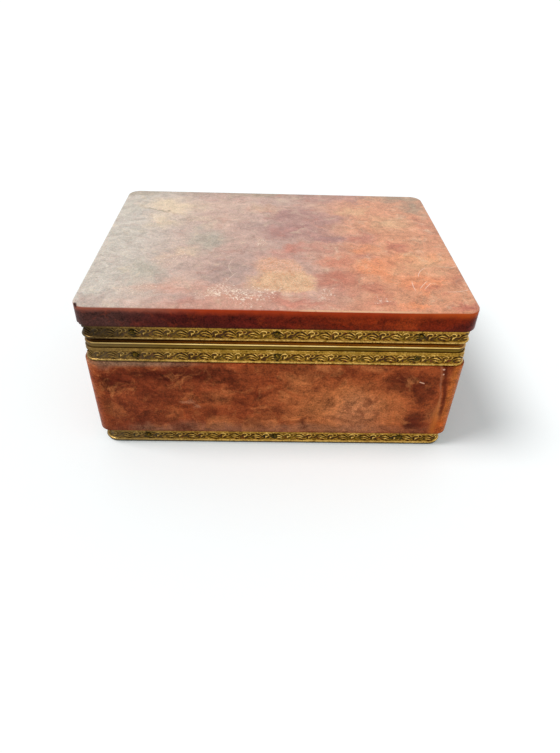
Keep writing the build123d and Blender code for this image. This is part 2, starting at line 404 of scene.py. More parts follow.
lidStoneMarks = {
    # the clouds of the top: place, half width and half length, colour, strength
    "top": [
        (-52, 40, 22, 17, "tan", 0.9),
        (-57, 21, 13, 11, "tan", 0.75),
        (-44, -14, 10, 8, "tan", 0.55),
        (-28, 43, 26, 13, "blush", 0.7),
        (-26, 24, 16, 12, "blush", 0.6),
        (-33, 0, 14, 22, "sage", 0.8),
        (-57, -30, 14, 15, "sage", 0.75),
        (-70, 6, 10, 12, "sage", 0.3),
        (-4, 38, 16, 9, "honey", 0.4),
        (8, 33, 20, 13, "mauve", 0.95),
        (9, 14, 26, 19, "mauve", 0.95),
        (25, 3, 14, 10, "mauve", 1.0),
        (25, 27, 18, 12, "mauve", 0.8),
        (-9, 18, 12, 11, "dusk", 0.5),
        (-22, -30, 13, 18, "dusk", 0.85),
        (-12, -14, 10, 8, "dusk", 0.5),
        (40, 37, 14, 9, "honey", 0.7),
        (56, 23, 13, 10, "honey", 0.75),
        (67, -17, 14, 12, "honey", 0.8),
        (40, 6, 13, 12, "rosy", 0.75),
        (57, -6, 9, 8, "brick", 0.75),
        (40, -8, 11, 7, "orange", 0.7),
        (9, -9, 14, 9, "rosy", 0.85),
        (24, -20, 13, 9, "coral", 0.8),
        (57, -19, 14, 10, "orange", 0.9),
        (43, -28, 20, 13, "orange", 1.0),
        (60, -38, 15, 13, "orange", 0.85),
        (25, -37, 14, 14, "brick", 0.8),
        (39, -45, 12, 8, "brick", 0.7),
        (61, -44, 9, 5, "brick", 0.5),
        (75, -36, 7, 10, "brick", 0.6),
        (76, -56, 11, 8, "brick", 1.0),
        (56, -56, 12, 5, "orange", 0.5),
        (10, -56, 18, 6, "rosy", 0.7),
        (-38, -56, 10, 7, "mauve", 0.7),
        (-16, -54, 22, 7, "rosy", 0.55),
        (-42, -45, 20, 9, "coral", 0.45),
        (74, 44, 12, 14, "moss", 0.7),
        (70, 58, 26, 8, "moss", 0.7),
        (-76, 57, 22, 8, "moss", 0.65),
        (0, 63, 110, 12, "moss", 0.6),
        (26, 55, 30, 10, "mauve", 0.65),
        (-75, 40, 9, 14, "sage", 0.4),
        (73, 24, 10, 9, "brick", 0.35),
        (24, -7, 11, 8, "rosy", 0.55),
        (0, -16, 14, 8, "rosy", 0.35),
        (40, -16, 10, 8, "rosy", 0.55),
        (58, -22, 11, 10, "honey", 0.5),
        (-40, -41, 13, 9, "blush", 0.55),
        (-24, -48, 10, 8, "rosy", 0.35),
        (24, -48, 10, 8, "rosy", 0.5),
        (3, -52, 15, 7, "rosy", 0.85),
        (0, -60, 100, 10, "coral", 0.45),
        (40, -55, 11, 7, "coral", 0.7),
        (57, -55, 9, 5, "orange", 0.95),
        (57, -46, 8, 5, "orange", 0.55),
        (40, -57, 9, 5, "brick", 0.55),
        (-74, -55, 9, 7, "dusk", 0.5),
        (-40, 24, 9, 7, "tan", 0.4),
        (72, -14, 9, 8, "orange", 0.55),
        (74, 17, 8, 12, "brick", 0.3),
        (40, 56, 12, 7, "mauve", 0.45),
    ],
    # the clouds of the sides: place, half width, half height and depth, colour, strength
    "side": [
        # the first is painted shade on the slab's left end, where the lid's corner lies in shadow
        (-70, 68, 34, 30, 30, "smoke", 0.95),
        (51, 67, 13, 9, 16, "copper", 0.85),
        (28, 69, 9, 4, 16, "copper", 0.3),
        (76, 66, 12, 7, 16, "deepRed", 0.75),
        (-34, 66, 18, 5, 14, "darkest", 0.35),
        (16, 65.5, 8, 3, 14, "darkest", 0.4),
    ],
    # heights between which the lower edge darkens
    "lowerEdge": (65.4, 64.2),
    # where the painted glow of light through the upper edge begins, at the right and the left, and is full
    "glowFrom": (69.3, 70.3),
    "glowFull": 72.8,
    # where the white crumbs lie: place, half width and half length, how thick
    "crumbs": [
        (-15, -50, 25, 14, 1.0),
        (-58, -47, 15, 11, 0.72),
        (-46, -20, 9, 13, 0.56),
        (-7, -3, 5, 8, 0.8),
        (19, -49, 9, 6, 0.8),
        (40, -55, 8, 5, 0.62),
    ],
    # the pale patch: middle and half width of each lobe
    "patch": [((0.6, -38.8), (16.4, 10.6)), ((0.0, -26.5), (11.6, 11.2))],
    # centre and radius of the arc, middle of the stretch that shows, half its length
    "scratches": [
        ((72.3, -34.2), 12.2, (62.2, -28.6), 5.6),
        ((96.3, -41), 40, (56.3, -41), 4.6),
        ((110.8, -73), 60, (61, -40), 4.4),
        ((112.3, -74.2), 60, (62.5, -41.2), 3.6),
        ((70.5, -28), 17.5, (74.5, -45), 6),
        ((61.1, 1.9), 30, (77.6, -23), 2.4),
        ((-8, -26), 13, (-20.8, -26), 8),
        ((34.2, -62.8), 60, (-19.5, -36), 6),
    ],
    # a green streak at the left, the dot at its end, and the dark pit at the near left corner
    "streak": (-61, 33, 9, 1.5),
    "streakEnd": (-55, 33.4, 1.2, 1.4),
    "cornerPit": (-79, -60.4, 2.2, 2.2),
}


def lidOnyx(marks):
    look = Finish("polished onyx lid", **onyxPolish)
    spot = look.place()
    x, y, z = look.split(spot)
    drift = look.drift(spot, 13, 0.62)
    bent = look.bend(spot, drift, (30, 30, 8))
    onTheTop = look.step(z, topLevel - 0.8, topLevel)
    faceOnly = look.step(z, topLevel - 0.4, topLevel)

    # the worn top, its pale grey partly a painted sheen reflecting the white surroundings
    top = look.mix(look.step(x, -74, -24), onyx["greyWithSheen"], onyx["roseTan"])
    top = look.mix(look.step(x, 0, 48), top, onyx["peach"])
    top = layBlots(look, top, bent, [onTop(*blot) for blot in marks["top"]])
    veil = look.noise(look.bend(spot, drift, (14, 14, 4)), 7, 5, 0.62, 0.8)
    top = look.mix(look.step(veil, 0.52, 0.74) * 0.4, top, onyx["tan"])
    top = look.mix(look.step(veil, 0.48, 0.28) * look.step(x, -60, 20, 0.15, 0.4), top, onyx["brick"])
    top, swirl, crumb, grain = mottle(look, top, spot, drift, look.step(x, -10, 60, 0.7, 0.9), 1.1)

    # the pale crumbling patch in front of the middle: two lobes, sharpest on their right
    ragged = look.bend(spot, drift, (15, 15, 0))
    square = 2.6  # 2 would make the lobes round
    lobes = []
    for (midX, midY), (halfX, halfY) in marks["patch"]:
        across, along = look.split(look.vector("SUBTRACT", ragged, (midX, midY, topLevel)))[:2]
        lobe = (abs(across) / halfX).power(square) + (abs(along) / halfY).power(square)
        lobes.append(lobe.power(1 / square))
    away = lowest(lobes) + (crumb - 0.5) * 0.4
    chalk = look.step(away, look.step(x, -10, 10, 0.45, 0.82), 1.06, 1.0, 0.0)
    powder = look.mix(look.step(y, -34, -27), onyx["chalk"], onyx["softPeach"])
    powder = look.mix(look.step(crumb + (grain - 0.5) * 0.9, 0.5, 0.66) * 0.7, powder, onyx["crumbTan"])
    powder = look.vector("SCALE", powder, Scale=1.02 + (swirl - 0.5) * 0.6 + (grain - 0.5) * 1.7)
    top = look.mix(chalk * look.step(crumb, 0.2, 0.4, 0.7, 0.95), top, powder)

    # sides: darker and clearer, with a painted glow of light shining through near the upper edge
    side = look.mix(look.step(x, -36, 34), onyx["deepRed"], onyx["crimson"])
    side = layBlots(look, side, bent, [onFront(*cloud) for cloud in marks["side"]])
    side = look.mix(look.step(veil, 0.5, 0.72) * 0.5, side, onyx["copper"])
    side = mottle(look, side, spot, drift, 1.7, 1.5)[0]
    side = look.mix(look.step(z, *marks["lowerEdge"]) * 0.55, side, onyx["darkest"])
    glowFrom = look.step(x, -28, -60, *marks["glowFrom"])
    glow = look.step(z + (swirl - 0.5) * 2.4, glowFrom, marks["glowFull"])
    paintedGlow = look.mix(look.step(x, -26, -52), onyx["paintedGlow"], onyx["greyishGlow"])
    paintedGlow = look.mix(look.step(x, 40, 76) * 0.6, paintedGlow, onyx["flameGlow"])
    side = look.mix(glow * 0.92, side, paintedGlow)
    stone = look.mix(look.step(z, topLevel - 0.5, topLevel), side, top)
    # a painted highlight along the front upper edge, on its right half
    edge = look.step(x, -2, 16) * look.step(x, 72, 44) * look.step(crumb, 0.3, 0.5, 0.5, 1.0)
    edge = edge * look.step(z, topLevel - 0.65, topLevel - 0.4)
    edge = edge * look.step(z, topLevel + 0.15, topLevel - 0.05)
    stone = look.mix(edge * look.step(y, -58, -60), stone, onyx["edgeLight"])

    # white crumbs, hairline scratches, specks, the streak and the dark pit
    crumbs = [onTop(*patch, depth=6) for patch in marks["crumbs"]]
    where = highest(look.blot(bent, centre, reach, 0.75) * thick for centre, reach, thick in crumbs)
    shard = look.noise(look.bend(spot, drift, (4, 4, 0)), 1.15, 3, 0.62, 1.0)
    stone = look.mix(where * onTheTop * 0.3, stone, onyx["softPeach"])
    flecks = look.step(shard + where * 0.17, 0.67, 0.73) * look.step(where, 0.1, 0.4) * onTheTop
    stone = look.mix(flecks * look.step(shard, 0.5, 0.66, 0.55, 0.95), stone, onyx["fleck"])
    lines = []
    for (centreX, centreY), radius, (midX, midY), half in marks["scratches"]:
        ring = look.vector("DISTANCE", spot, (centreX, centreY, topLevel), out="Value") - radius
        reach = look.vector("DISTANCE", spot, (midX, midY, topLevel), out="Value")
        line = look.step(abs(ring + (crumb - 0.5) * 0.5), 0.04, 0.22, 1.0, 0.0)
        lines.append(line * look.step(reach, half, half * 0.6))
    scratch = highest(lines) * look.step(x, 0, 40, 0.4, 0.7) * faceOnly
    stone = look.mix(scratch, stone, onyx["fleck"])
    specks = look.step(look.noise(spot, 1.3, 2, 0.5, 0.5), 0.73, 0.78) * faceOnly
    stone = look.mix(specks * 0.6, stone, onyx["moss"])
    streak = look.blot(bent, *onTop(*marks["streak"], depth=4), 0.8)
    streak = streak.atLeast(look.blot(spot, *onTop(*marks["streakEnd"], depth=4)))
    stone = look.mix(streak * 0.7, stone, onyx["moss"])
    pit = look.blot(spot, *onTop(*marks["cornerPit"], depth=2.2), 0.4)
    stone = look.mix(pit, stone, onyx["darkest"])

    rough = 0.24 + chalk * 0.3 + flecks * 0.3 + scratch * 0.3 + (crumb - 0.5) * 0.2
    height = chalk * (grain - 0.5) * 0.6 - flecks * 0.4 - scratch * 0.3 + (crumb - 0.5) * 0.1
    return look.feed(Base_Color=stone, Roughness=rough.clip(), Normal=look.bump(height, 0.12))


wallStoneMarks = {
    # the clouds: place, half width, half height and depth, colour, strength
    "clouds": [
        (30, 21, 42, 24, 24, "amber", 0.85),
        (-26, 24, 24, 10, 14, "rust", 0.35),
        (0, 46, 34, 6, 14, "rust", 0.7),
        (-42, 41, 36, 7, 16, "maroon", 1.0),
        (-70, 36, 13, 8, 14, "maroon", 0.85),
        (-53, 30, 9, 6, 12, "maroon", 0.45),
        (-7.5, 28.5, 5, 3.8, 10, "maroon", 0.95),
        (-63, 14, 11, 5, 12, "maroon", 0.4),
        (-24, 14, 10, 6, 12, "amber", 0.5),
        (-55, 9.5, 14, 3.5, 12, "ash", 0.3),
        (22, 44, 30, 5, 14, "maroon", 0.35),
        (40, 46, 10, 4, 12, "amber", 0.55),
        (56, 38, 17, 8, 14, "maroon", 0.9),
        (65, 32, 6, 9, 12, "maroon", 0.75),
        (71, 44, 5, 9, 12, "maroon", 0.55),
        (65, 15, 7, 11, 12, "maroon", 0.9),
        (-72, 46.2, 32, 4, 14, "ash", 0.45),
        (0, 9.5, 100, 5.5, 14, "ash", 0.42),
        (8, 40, 11, 11, 14, "amber", 0.6),
        (33, 25, 20, 15, 14, "amber", 0.75),
        (-8, 13, 10, 6, 12, "amber", 0.6),
        (-24, 28, 9, 7, 12, "amber", 0.4),
        (-42, 21, 12, 8, 12, "rust", 0.5),
        (-64, 35, 15, 7, 12, "maroon", 0.5),
        (-70, 21, 9, 7, 12, "amber", 0.4),
        (72, 20, 4, 10, 12, "amber", 0.5),
        (36, 20, 18, 18, 14, "peach", 0.2),
        (-8, 22, 19, 6, 12, "brown", 0.4),
        (-56, 45, 8, 4, 12, "rust", 0.55),
        (8, 45, 8, 4, 12, "rust", 0.6),
        (-40, 45, 7, 4, 12, "maroon", 0.5),
        (-73, 37, 8, 7, 12, "maroon", 0.55),
    ],
    # the painted glow at the bottom of the right edge
    "cornerGlow": (76, 11, 5, 9, 12),
    # a pale strip just under the band, at the left
    "strip": (-58, 46.4, 34, 2.6, 10),
    # the pale tongue: two short strokes that meet
    "tongue": [
        (-39.6, 24.5, 5.0, 1.6, 6),
        (-35.4, 22.4, 3.8, 1.8, 6),
    ],
    "chips": [
        (70.1, 45.2, 0.75, 0.6, 4),
        (70.5, 42.6, 0.45, 0.55, 4),
    ],
    "nick": (62.2, 37.9),  # the slanting one
    # the vein runs straight up to its bend and leans to the left above it
    "veinX": 72.0,
    "veinBend": 28.0,
    "veinLean": 0.17,
    # heights between which the lower edge darkens
    "lowerEdge": (9.2, 7.8),
}


def bodyOnyx(marks):
    look = Finish("polished onyx walls", **onyxPolish)
    spot = look.place()
    x, y, z = look.split(spot)
    drift = look.drift(spot, 14, 0.6)
    bent = look.bend(spot, drift, (20, 20, 12))
    veil = look.noise(look.bend(spot, drift, (16, 16, 16)), 9, 5, 0.6, 0.8)

    stone = look.mix(look.step(x, -50, 45), onyx["brown"], onyx["rust"])
    stone = layBlots(look, stone, bent, [onFront(*cloud) for cloud in marks["clouds"]])
    stone = look.mix(look.step(veil, 0.5, 0.72) * 0.6, stone, onyx["amber"])
    stone = look.mix(look.step(veil, 0.5, 0.3) * 0.65, stone, onyx["maroon"])

    # the front edge of the right wall is honey coloured, with a painted glow at the bottom
    nearFront = look.step(y, -50, -58)
    stone = look.mix(look.step(x, 73, 75.5) * nearFront * 0.7, stone, onyx["gold"])
    stone = look.mix(look.blot(bent, *onFront(*marks["cornerGlow"])) * 0.5, stone, onyx["flameGlow"])
    stone = look.mix(look.step(x, -72, -76) * nearFront * 0.4, stone, onyx["rust"])
    strip = look.blot(spot, *onFront(*marks["strip"]), 0.8)
    stone = look.mix(strip * nearFront * 0.75, stone, onyx["ash"])
    for stroke in marks["tongue"]:
        stone = look.mix(look.blot(bent, *onFront(*stroke), 0.8) * 0.85, stone, onyx["tongue"])
    stone, swirl, crumb = mottle(look, stone, spot, drift, 1.5, 1.9)[:3]

    # the vein near the right edge: a hairline above, a warm plume below, a dark line on its right
    fromVein = x - marks["veinX"] + (z - marks["veinBend"]).atLeast(0.0) * marks["veinLean"]
    fromVein = fromVein - (swirl - 0.5) * 2.0
    plume = look.step(abs(fromVein + 0.2), 0.2, look.step(z, 32, 16, 0.6, 2.6), 1.0, 0.0)
    plume = plume * look.step(z, 33, 26)
    warm = look.mix(look.step(z, 28, 14), onyx["amber"], onyx["gold"])
    stone = look.mix(plume * nearFront * 0.7, stone, warm)
    darkLine = look.step(abs(fromVein - 1.7), 0.2, 1.3, 1.0, 0.0) * look.step(z, 12, 24)
    stone = look.mix(darkLine * nearFront * 0.75, stone, onyx["maroon"])
    vein = look.step(abs(fromVein), 0.1, 0.7, 1.0, 0.0) * look.step(z, 24, 30)
    stone = look.mix(vein * nearFront * look.step(crumb, 0.3, 0.6, 0.2, 0.6), stone, onyx["tongue"])
    nickX, nickZ = marks["nick"]
    slant = abs(z - nickZ + (x - nickX) * 0.35)
    chips = look.step(slant, 0.15, 0.4, 1.0, 0.0) * look.step(abs(x - nickX), 1.3, 0.9) * nearFront
    for chip in marks["chips"]:
        chips = chips.atLeast(look.blot(spot, *onFront(*chip)))
    stone = look.mix(chips * 0.85, stone, onyx["chip"])
    stone = look.mix(look.step(z, *marks["lowerEdge"]) * 0.4, stone, onyx["maroon"])

    rough = (0.26 + (crumb - 0.5) * 0.25 + chips * 0.3).clip()
    height = (crumb - 0.5) * 0.12 - chips * 0.3
    return look.feed(Base_Color=stone, Roughness=rough, Normal=look.bump(height, 0.12))


# brass

brass = {
    "glint": paint(250, 220, 142),
    "bright": paint(236, 194, 106),
    "mid": paint(174, 132, 54),
    "olive": paint(116, 88, 22),
    "dark": paint(70, 38, 8),
    "shade": paint(96, 76, 26),
    "black": paint(38, 27, 18),
    "rust": paint(130, 66, 28),
    "umber": paint(104, 85, 56),
    "tarnish": paint(46, 43, 22),
    "grooveRed": paint(184, 138, 78),
    "grooveOlive": paint(236, 200, 112),
}
# places of the pins whose tarnish marks the bands
pinPlaces = {"alongFront": 58.0, "acrossSide": 38.0, "heights": (60.8, 49.7, 3.9)}
# sizes of the patches of wear on the bands, and the painted shade at the lid's near left corner
bandWearAndShade = {
    "tone": 15,
    "wear": 3.2,
    "fine": 0.75,
    "rust": 2.6,
    "green": 5,
    "paintedCornerShade": ((-84, -61, 61), (38, 22, 9)),
}


def scrollBrass(pins, patches):
    look = Finish("aged stamped brass", Metallic=1.0)
    spot = look.place()
    x, y, z = look.split(spot)
    relief = look.node("ShaderNodeAttribute", {"attribute_name": "relief"}, out="Fac")
    tone = look.noise(spot, patches["tone"], 3, 0.5)
    wear = look.noise(spot, patches["wear"], 4, 0.6)
    fine = look.noise(spot, patches["fine"], 3, 0.6)
    lift = relief + (tone - 0.5) * 0.4 + (wear - 0.5) * 0.95 + (fine - 0.5) * 1.15
    metal = look.mix(look.step(lift, 0.04, 0.3), brass["dark"], brass["olive"])
    metal = look.mix(look.step(lift, 0.24, 0.56), metal, brass["mid"])
    metal = look.mix(look.step(lift, 0.64, 0.95), metal, brass["bright"])
    # a painted highlight along the bead's crest
    beadHighlight = look.step(relief + (fine - 0.5) * 0.5 + (wear - 0.5) * 0.3, 1.12, 1.26)
    bead = look.mix(beadHighlight, look.mix(fine, brass["olive"], brass["mid"]), brass["bright"])
    bead = look.vector("SCALE", bead, Scale=0.84)
    metal = look.mix(look.step(relief, 0.98, 1.04), metal, bead)
    metal = look.mix(look.step(tone, 0.5, 0.66) * look.step(lift, 1.0, 0.6) * 0.45, metal, brass["olive"])
    red = look.step(look.noise(spot, patches["rust"], 3), 0.54, 0.68) * look.step(lift, 0.6, 0.1)
    metal = look.mix(red * 0.7, metal, brass["rust"])
    green = look.step(look.noise(spot, patches["green"], 3), 0.58, 0.7) * look.step(lift, 0.7, 0.2)
    metal = look.mix(green * 0.45, metal, brass["tarnish"])
    # duller towards the left, with painted shade, almost black, at the lid's near left corner
    metal = look.vector("SCALE", metal, Scale=look.step(x, -14, -40, 1.0, 0.84))
    metal = look.mix(look.step(x, -24, -80) * 0.7, metal, brass["umber"])
    metal = look.mix(look.blot(spot, *patches["paintedCornerShade"], 0.8) * 0.8, metal, brass["black"])
    # tarnish round the pins
    alongFront = x.wrap(-pins["alongFront"] / 2, pins["alongFront"] / 2)
    toSide = abs(y) - pins["acrossSide"]
    onFront = look.step(abs(y), 58, 59)
    sideways = alongFront * onFront + toSide * (1.0 - onFront)
    upright = lowest(abs(z - height) for height in pins["heights"])
    # painted shade on the bead's lower half
    beadShade = look.step(upright, 2.75, 3.0) * look.step(relief, 0.65, 0.9)
    metal = look.mix(beadShade * 0.75, metal, brass["dark"])
    toPin = look.node("ShaderNodeCombineXYZ", {}, sideways, upright, 0.0)
    toPin = look.vector("LENGTH", toPin, out="Value")
    halo = look.step(toPin + (fine - 0.5) * 3.0 + (wear - 0.5) * 3.0, 1.2, 2.2, 1.0, 0.0)
    metal = look.mix(halo * 0.85, metal, brass["tarnish"])
    rough = look.step(lift, 0.2, 0.9, 0.55, 0.26)
    return look.feed(
        Base_Color=metal, Roughness=rough, Metallic=look.step(lift, 0.0, 0.3, 0.7, 1.0),
        Normal=look.bump(fine, 0.06),
    )


# heights at which the colour of the frames changes, how far in the rim's painted highlight reaches, and the
# half width and half depth of the lid that this is measured from
frameLevels = {
    "plainLow": 52.9,
    "rimLow": 54.95,
    "rimHigh": 55.85,
    "grooveMiddle": 56.3,
    "grooveHigh": 57.7,
    "rimIn": 1.62,
    "halfX": 80.0,
    "halfY": 61.5,
}


def frameBrass(levels):
    look = Finish("aged brass frame", Metallic=1.0)
    spot = look.place()
    x, y, z = look.split(spot)
    inset = (levels["halfX"] - abs(x)).atMost(levels["halfY"] - abs(y))
    wear = look.noise(spot, 9, 5, 0.65)
    brushed = look.brushed(spot, (0.15, 0.15, 2.5))
    metal = look.mix(look.step(wear, 0.3, 0.7), brass["olive"], brass["mid"])
    metal = look.mix(look.step(brushed, 0.45, 0.7) * 0.4, metal, brass["dark"])
    # painted shade: the smooth band darkens up to the underside of the rim, darkest right under it
    under = look.step(z, levels["plainLow"] - 0.1, levels["plainLow"] + 0.7, 0.4, 1.0)
    under = under * look.step(z, levels["rimLow"] + 0.1, levels["rimLow"] - 0.05)
    metal = look.mix(under * 0.8, metal, brass["shade"])
    nearRim = look.step(z, levels["rimLow"] - 0.8, levels["rimLow"] - 0.6)
    metal = look.mix(nearRim * under * 0.7, metal, brass["dark"])
    # a painted highlight along the rim, which is also polished a little smoother
    belowTop = look.step(z, levels["rimHigh"], levels["rimHigh"] - 0.2)
    rim = look.step(z, levels["rimLow"], levels["rimLow"] + 0.2) * belowTop
    floor = rim * look.step(inset, levels["rimIn"], levels["rimIn"] + 0.3)
    rim = rim * look.step(inset, levels["rimIn"] + 0.3, levels["rimIn"])
    metal = look.mix(rim, metal, look.mix(look.step(wear, 0.35, 0.6), brass["bright"], brass["glint"]))
    # the groove between rim and lid: reddish floor, olive wall
    wall = look.step(z, levels["rimHigh"] - 0.2, levels["rimHigh"])
    wall = wall * look.step(z, levels["grooveHigh"], levels["grooveHigh"] - 0.3)
    upper = look.step(z, levels["grooveMiddle"], levels["grooveMiddle"] + 0.3)
    shade = look.mix(upper, brass["grooveRed"], brass["grooveOlive"])
    shade = look.mix(look.step(x, 10, -76) * 0.5, shade, brass["dark"])
    metal = look.mix(wall.atLeast(floor) * 0.85, metal, shade)
    metal = look.mix(look.step(x, -24, -76) * 0.6, metal, brass["umber"])
    spots = look.step(look.noise(spot, 1.1, 3, 0.6), 0.66, 0.74)
    metal = look.mix(spots * 0.45, metal, brass["dark"])
    rough = (0.34 + (wear - 0.5) * 0.3 + spots * 0.2 - rim * 0.1).clip()
    return look.feed(Base_Color=metal, Roughness=rough, Normal=look.bump(brushed, 0.03))


def pinBrass():
    look = Finish("tarnished pin brass", Metallic=1.0)
    spot = look.place()
    wear = look.noise(spot, 0.8, 4, 0.6)
    metal = look.mix(look.step(wear, 0.35, 0.65), brass["tarnish"], brass["olive"])
    metal = look.mix(look.step(wear, 0.62, 0.78) * 0.5, metal, brass["mid"])
    rough = look.step(wear, 0.3, 0.7, 0.6, 0.35)
    return look.feed(Base_Color=metal, Roughness=rough, Normal=look.bump(wear, 0.05))


def hingeBrass():
    look = Finish("hinge brass", Metallic=1.0)
    spot = look.place()
    wear = look.noise(spot, 4, 5, 0.65)
    drawn = look.brushed(spot, (0.1, 2.0, 2.0))
    metal = look.mix(look.step(wear, 0.3, 0.7), brass["olive"], brass["mid"])
    metal = look.mix(look.step(drawn, 0.5, 0.7) * 0.3, metal, brass["dark"])
    rough = look.step(wear, 0.2, 0.8, 0.42, 0.3)
    return look.feed(Base_Color=metal, Roughness=rough, Normal=look.bump(drawn, 0.03))


# steel and cloth

steelTones = {"dark": paint(150, 146, 138), "light": paint(196, 192, 186)}
feltTones = {"dark": paint(48, 40, 28), "light": paint(92, 80, 58), "worn": paint(40, 34, 26)}
velvetTones = {
    "deep": paint(92, 14, 20),
    "lit": paint(136, 26, 34),
    "shade": paint(66, 8, 14),
    "sheen": paint(214, 96, 96),
}


def pinSteel():
    look = Finish("drawn steel pin", Metallic=1.0)
    spot = look.place()
    drawn = look.brushed(spot, (0.1, 3.0, 3.0))
    metal = look.mix(drawn, steelTones["dark"], steelTones["light"])
    rough = look.step(drawn, 0.2, 0.8, 0.3, 0.42)
    return look.feed(Base_Color=metal, Roughness=rough, Normal=look.bump(drawn, 0.02))


def feltCloth():
    look = Finish("base felt", Specular_IOR_Level=0.15, Sheen_Weight=0.3, Sheen_Roughness=0.6)
    spot = look.place()
    hair = look.noise(spot, 0.35, 4, 0.7, 1.2)
    patch = look.noise(spot, 8, 3, 0.5)
    cloth = look.mix(look.step(hair, 0.3, 0.7), feltTones["dark"], feltTones["light"])
    cloth = look.mix(look.step(patch, 0.4, 0.7) * 0.4, cloth, feltTones["worn"])
    rough = look.step(hair, 0.2, 0.8, 0.85, 1.0)
    return look.feed(Base_Color=cloth, Roughness=rough, Normal=look.bump(hair, 0.2))


def velvetCloth():
    look = Finish(
        "wine velvet", Specular_IOR_Level=0.1,
        Sheen_Weight=0.7, Sheen_Roughness=0.35, Sheen_Tint=velvetTones["sheen"],
    )
    spot = look.place()
    pile = look.noise(spot, 0.3, 3, 0.7)
    brushed = look.noise(spot, 16, 3, 0.5, 0.8)
    cloth = look.mix(look.step(brushed, 0.35, 0.65), velvetTones["deep"], velvetTones["lit"])
    cloth = look.mix(look.step(pile, 0.35, 0.65) * 0.4, cloth, velvetTones["shade"])
    rough = look.step(pile, 0.2, 0.8, 0.8, 1.0)
    return look.feed(Base_Color=cloth, Roughness=rough, Normal=look.bump(pile, 0.15))


finishes = {
    "lid": lidOnyx(lidStoneMarks),
    "walls": bodyOnyx(wallStoneMarks),
    "scroll": scrollBrass(pinPlaces, bandWearAndShade),
    "frame": frameBrass(frameLevels),
    "pins": pinBrass(),
    "hinge": hingeBrass(),
    "steel": pinSteel(),
    "felt": feltCloth(),
    "velvet": velvetCloth(),
}
print("finishes mixed:", len(finishes))


# lid slab

lidSlabShape = {
    # radius of the upright corners, of the upper and of the lower edge, each with its number of steps
    "corner": (6.0, 12),
    "topEdge": (1.0, 4),
    "bottomEdge": (0.4, 2),
    "smooth": 32,  # degrees
    # the bits missing along the edges: how uneven, how much longer and flatter, then place and size of each
    "chipUneven": 0.25,
    "chipStretch": (1.5, 1.0, 0.8),
    "chips": [
        ((-79.0, -61.2, 73.4), 1.5),
        ((-79.4, -59.4, 64.2), 1.0),
        ((-33.0, -61.8, 73.5), 0.8),
        ((-41.5, -61.9, 73.5), 0.6),
        ((37.0, -61.9, 73.5), 0.7),
        ((80.1, 12.0, 73.5), 0.8),
        ((-12.0, 61.9, 73.5), 1.0),
        ((79.4, 58.8, 64.2), 0.9),
    ],
}


def makeLidSlab(shape):
    low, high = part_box("lid_slab")
    slab = blockIn(low, high, "onyxLidSlab")
    for edges, isEdge in (
        ("corner", lambda a, b: abs(a.z - b.z) > samePlace),
        ("topEdge", lambda a, b: min(a.z, b.z) > high.z - samePlace),
        ("bottomEdge", lambda a, b: max(a.z, b.z) < low.z + samePlace),
    ):
        radius, steps = shape[edges]
        pick(slab, "EDGE", isEdge)
        bpy.ops.mesh.bevel(offset=radius * mm, segments=steps)
    bpy.ops.object.mode_set(mode="OBJECT")
    for i, (place, size) in enumerate(shape["chips"]):
        clearSelection()
        bpy.ops.mesh.primitive_ico_sphere_add(
            subdivisions=2, radius=size * mm, location=Vector(place) * mm, scale=shape["chipStretch"]
        )
        bit = bpy.context.object
        settle(bit)
        editAll(bit)
        bpy.ops.transform.vertex_random(offset=shape["chipUneven"] * size * mm, seed=i)
        modify(slab, "BOOLEAN", operation="DIFFERENCE", solver="EXACT", object=bit)
        bpy.data.objects.remove(bit)
    tidyMesh(slab, shape["smooth"])
    return slab


lidSlab = makeLidSlab(lidSlabShape)
fitOut(lidSlab, "lid", "lid_onyx", finishes["lid"], "lid_slab")
print("lid slab cut:", len(lidSlab.data.polygons), "faces")


# walls, frames and hinge

wallShape = {"easing": 0.18}
for node in ("front_wall", "back_wall", "left_wall", "right_wall"):
    wall = easedCopy(node, "onyx." + node, wallShape["easing"])
    fitOut(wall, "base", "body_onyx", finishes["walls"], node)
nodes["floor_slab"].data.materials.clear()
nodes["floor_slab"].data.materials.append(finishes["walls"])

frameShape = {"easing": 0.1}
for node, body in (
    ("lid_frame", "lid"),
    ("rim_frame", "base"),
    ("foot_frame", "base"),
    ("rim_inner_lip", "base"),
):
    piece = easedCopy(node, "brass." + node, frameShape["easing"])
    fitOut(piece, body, "frame_brass", finishes["frame"], node)

hingeShape = {"leafEasing": 0.08, "screwEasing": 0.04}
for node, body in (
    ("lid_hinge_leaf", "lid"),
    ("base_hinge_leaf", "base"),
    ("lid_hinge_screws", "lid"),
    ("base_hinge_screws", "base"),
):
    easing = hingeShape["leafEasing" if "leaf" in node else "screwEasing"]
    piece = easedCopy(node, "brass." + node, easing)
    fitOut(piece, body, "hinge_brass", finishes["hinge"], node)
hingePin = easedCopy("hinge_pin", "steel.hinge_pin", 0.0)
fitOut(hingePin, "base", "hinge_steel", finishes["steel"], "hinge_pin")
print("walls, frames and hinge dressed")


# scroll bands

